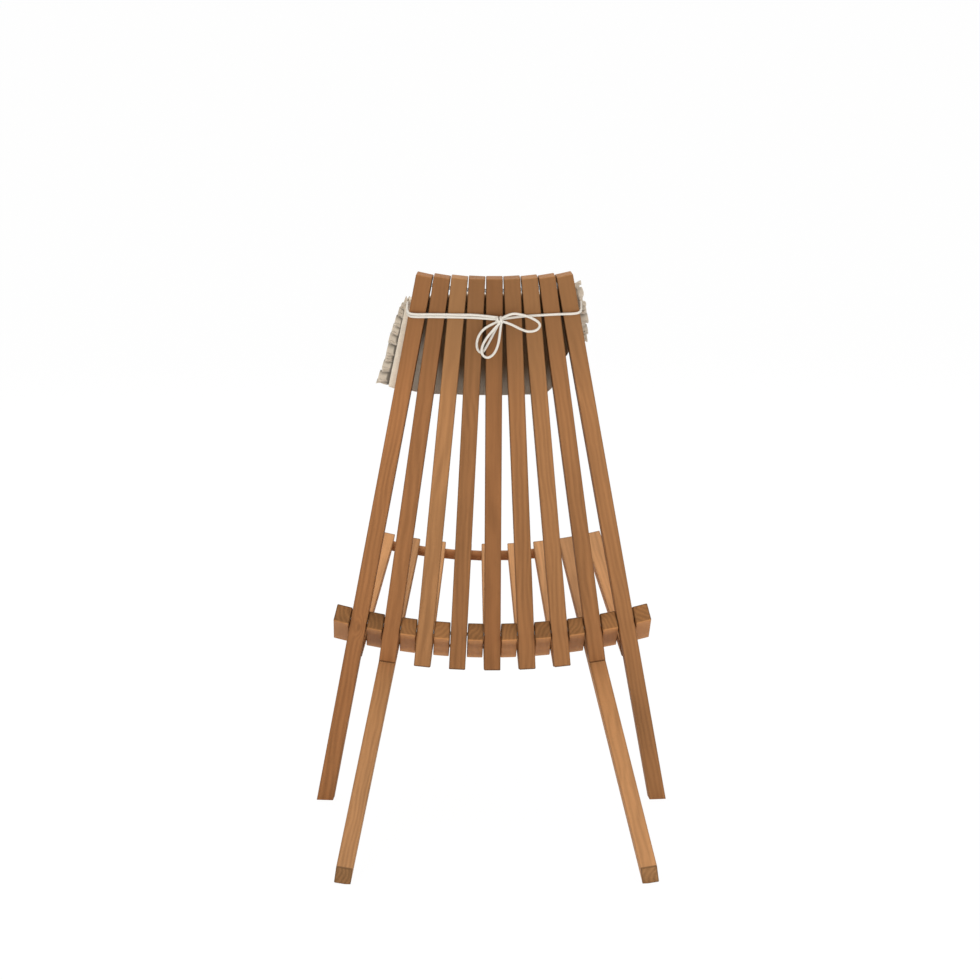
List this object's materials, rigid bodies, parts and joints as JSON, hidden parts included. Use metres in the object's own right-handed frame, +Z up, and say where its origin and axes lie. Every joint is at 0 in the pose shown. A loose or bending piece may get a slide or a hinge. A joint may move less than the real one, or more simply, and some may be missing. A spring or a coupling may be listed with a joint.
{
  "type": "folding stick lounge chair",
  "caption": "Folding lounge chair of fanned wooden sticks: back and seat cross on short links and cables, with a tied linen head pillow.",
  "frame": {"origin": "on the floor under the middle of the chair's outline", "axes": "+Z up, -Y to the front where the sitter's knees are, +X to the left seen from behind"},
  "size_m": [0.5608, 0.8978, 0.9196],
  "materials": {
    "back_wood": "oiled hardwood, satin",
    "link_wood": "oiled hardwood, darker end grain",
    "seat_wood": "oiled hardwood, honey brown",
    "dowel_wood": "oiled hardwood dowel",
    "steel": "plain steel cable and pins",
    "linen": "beige linen",
    "cord": "white cotton cord"
  },
  "bodies": {
    "back": {"back_stick_1": "back_wood", "back_stick_2": "back_wood", "back_stick_3": "back_wood", "back_stick_4": "back_wood", "back_stick_5": "back_wood", "back_stick_6": "back_wood", "back_stick_7": "back_wood", "back_stick_8": "back_wood", "back_stick_9": "back_wood", "pivot_cable": "steel", "back_top_cable": "steel", "pillow": "linen", "ruffle_left": "linen", "ruffle_right": "linen", "tie_left_lower": "cord", "tie_left_upper": "cord", "tie_right": "cord", "bow_right_loop": "cord", "bow_left_loop": "cord", "bow_long_loop": "cord", "bow_knot": "cord"},
    "link_1": {"link_1": "link_wood", "seat_pin_1": "steel"},
    "link_2": {"link_2": "link_wood", "seat_pin_2": "steel"},
    "link_3": {"link_3": "link_wood", "seat_pin_3": "steel"},
    "link_4": {"link_4": "link_wood", "seat_pin_4": "steel"},
    "link_5": {"link_5": "link_wood", "seat_pin_5": "steel"},
    "link_6": {"link_6": "link_wood"},
    "link_7": {"link_7": "link_wood", "seat_pin_6": "steel"},
    "link_8": {"link_8": "link_wood", "seat_pin_7": "steel"},
    "link_9": {"link_9": "link_wood", "seat_pin_8": "steel"},
    "link_10": {"link_10": "link_wood", "seat_pin_9": "steel"},
    "seat_1": {"seat_stick_1": "seat_wood", "front_spacer_1": "dowel_wood"},
    "seat_2": {"seat_stick_2": "seat_wood", "front_spacer_2": "dowel_wood"},
    "seat_3": {"seat_stick_3": "seat_wood", "front_spacer_3": "dowel_wood"},
    "seat_4": {"seat_stick_4": "seat_wood", "front_spacer_4": "dowel_wood"},
    "seat_5": {"seat_stick_5": "seat_wood", "front_spacer_5": "dowel_wood"},
    "seat_6": {"seat_stick_6": "seat_wood", "front_spacer_6": "dowel_wood"},
    "seat_7": {"seat_stick_7": "seat_wood", "front_spacer_7": "dowel_wood"},
    "seat_8": {"seat_stick_8": "seat_wood", "front_spacer_8": "dowel_wood"},
    "seat_9": {"seat_stick_9": "seat_wood"}
  },
  "joints": [
    {"name": "seat_fold_2", "type": "hinge", "parent": "link_2", "child": "seat_2", "pos_m": [0.15903, -0.18168, 0.26773], "axis": [-0.9862, 0.0634, -0.1531], "range_deg": [0, 113.91]},
    {"name": "seat_fold_1", "type": "hinge", "parent": "link_1", "child": "seat_1", "pos_m": [0.21128, -0.18561, 0.27722], "axis": [-0.9755, 0.0843, -0.2034], "range_deg": [0, 113.92]},
    {"name": "seat_fold_3", "type": "hinge", "parent": "link_3", "child": "seat_3", "pos_m": [0.10629, -0.17886, 0.26092], "axis": [-0.9938, 0.0424, -0.1023], "range_deg": [0, 113.92]},
    {"name": "seat_fold_4", "type": "hinge", "parent": "link_4", "child": "seat_4", "pos_m": [0.05323, -0.17717, 0.25683], "axis": [-0.9985, 0.0212, -0.0513], "range_deg": [0, 113.92]},
    {"name": "seat_fold_5", "type": "hinge", "parent": "link_5", "child": "seat_5", "pos_m": [0, -0.1766, 0.25547], "axis": [-1, 0, 0], "range_deg": [0, 113.92]},
    {"name": "seat_fold_6", "type": "hinge", "parent": "link_7", "child": "seat_6", "pos_m": [-0.05323, -0.17717, 0.25683], "axis": [-0.9985, -0.0212, 0.0513], "range_deg": [0, 113.92]},
    {"name": "seat_fold_7", "type": "hinge", "parent": "link_8", "child": "seat_7", "pos_m": [-0.10629, -0.17886, 0.26092], "axis": [-0.9938, -0.0424, 0.1023], "range_deg": [0, 113.92]},
    {"name": "seat_fold_8", "type": "hinge", "parent": "link_9", "child": "seat_8", "pos_m": [-0.15903, -0.18168, 0.26773], "axis": [-0.9862, -0.0634, 0.1531], "range_deg": [0, 113.92]},
    {"name": "seat_fold_9", "type": "hinge", "parent": "link_10", "child": "seat_9", "pos_m": [-0.21128, -0.18561, 0.27722], "axis": [-0.9755, -0.0843, 0.2034], "range_deg": [0, 113.92]},
    {"name": "link_swing_1", "type": "hinge", "parent": "back", "child": "link_1", "pos_m": [0.23752, -0.08817, 0.32284], "axis": [-0.969, 0.0946, -0.2284], "range_deg": [-23.92, 0]},
    {"name": "link_swing_2", "type": "hinge", "parent": "back", "child": "link_2", "pos_m": [0.1855, -0.08368, 0.31199], "axis": [-0.9812, 0.0739, -0.1783], "range_deg": [-23.92, 0]},
    {"name": "link_swing_3", "type": "hinge", "parent": "back", "child": "link_3", "pos_m": [0.13291, -0.0803, 0.30382], "axis": [-0.9904, 0.0529, -0.1278], "range_deg": [-23.92, 0]},
    {"name": "link_swing_4", "type": "hinge", "parent": "back", "child": "link_4", "pos_m": [0.07991, -0.07803, 0.29837], "axis": [-0.9965, 0.0318, -0.0768], "range_deg": [-23.92, 0]},
    {"name": "link_swing_5", "type": "hinge", "parent": "back", "child": "link_5", "pos_m": [0.02666, -0.0769, 0.29563], "axis": [-0.9996, 0.0106, -0.0256], "range_deg": [-23.92, 0]},
    {"name": "link_swing_6", "type": "hinge", "parent": "back", "child": "link_6", "pos_m": [-0.02666, -0.0769, 0.29563], "axis": [-0.9996, -0.0106, 0.0256], "range_deg": [-23.92, 0]},
    {"name": "link_swing_7", "type": "hinge", "parent": "back", "child": "link_7", "pos_m": [-0.07991, -0.07803, 0.29837], "axis": [-0.9965, -0.0318, 0.0768], "range_deg": [-23.92, 0]},
    {"name": "link_swing_8", "type": "hinge", "parent": "back", "child": "link_8", "pos_m": [-0.13291, -0.0803, 0.30382], "axis": [-0.9904, -0.0529, 0.1278], "range_deg": [-23.92, 0]},
    {"name": "link_swing_9", "type": "hinge", "parent": "back", "child": "link_9", "pos_m": [-0.1855, -0.08368, 0.31199], "axis": [-0.9812, -0.0739, 0.1783], "range_deg": [-23.92, 0]},
    {"name": "link_swing_10", "type": "hinge", "parent": "back", "child": "link_10", "pos_m": [-0.23752, -0.08817, 0.32284], "axis": [-0.969, -0.0946, 0.2284], "range_deg": [-23.92, 0]}
  ],
  "couplings": [
    {"joint": "seat_fold_1", "follows": "seat_fold_2", "ratio": 1},
    {"joint": "seat_fold_3", "follows": "seat_fold_2", "ratio": 1},
    {"joint": "seat_fold_4", "follows": "seat_fold_2", "ratio": 1},
    {"joint": "seat_fold_5", "follows": "seat_fold_2", "ratio": 1},
    {"joint": "seat_fold_6", "follows": "seat_fold_2", "ratio": 1},
    {"joint": "seat_fold_7", "follows": "seat_fold_2", "ratio": 1},
    {"joint": "seat_fold_8", "follows": "seat_fold_2", "ratio": 1},
    {"joint": "seat_fold_9", "follows": "seat_fold_2", "ratio": 1},
    {"joint": "link_swing_1", "follows": "seat_fold_2", "ratio": -0.20988},
    {"joint": "link_swing_2", "follows": "seat_fold_2", "ratio": -0.20988},
    {"joint": "link_swing_3", "follows": "seat_fold_2", "ratio": -0.20988},
    {"joint": "link_swing_4", "follows": "seat_fold_2", "ratio": -0.20988},
    {"joint": "link_swing_5", "follows": "seat_fold_2", "ratio": -0.20988},
    {"joint": "link_swing_6", "follows": "seat_fold_2", "ratio": -0.20988},
    {"joint": "link_swing_7", "follows": "seat_fold_2", "ratio": -0.20988},
    {"joint": "link_swing_8", "follows": "seat_fold_2", "ratio": -0.20988},
    {"joint": "link_swing_9", "follows": "seat_fold_2", "ratio": -0.20988},
    {"joint": "link_swing_10", "follows": "seat_fold_2", "ratio": -0.20988}
  ]
}
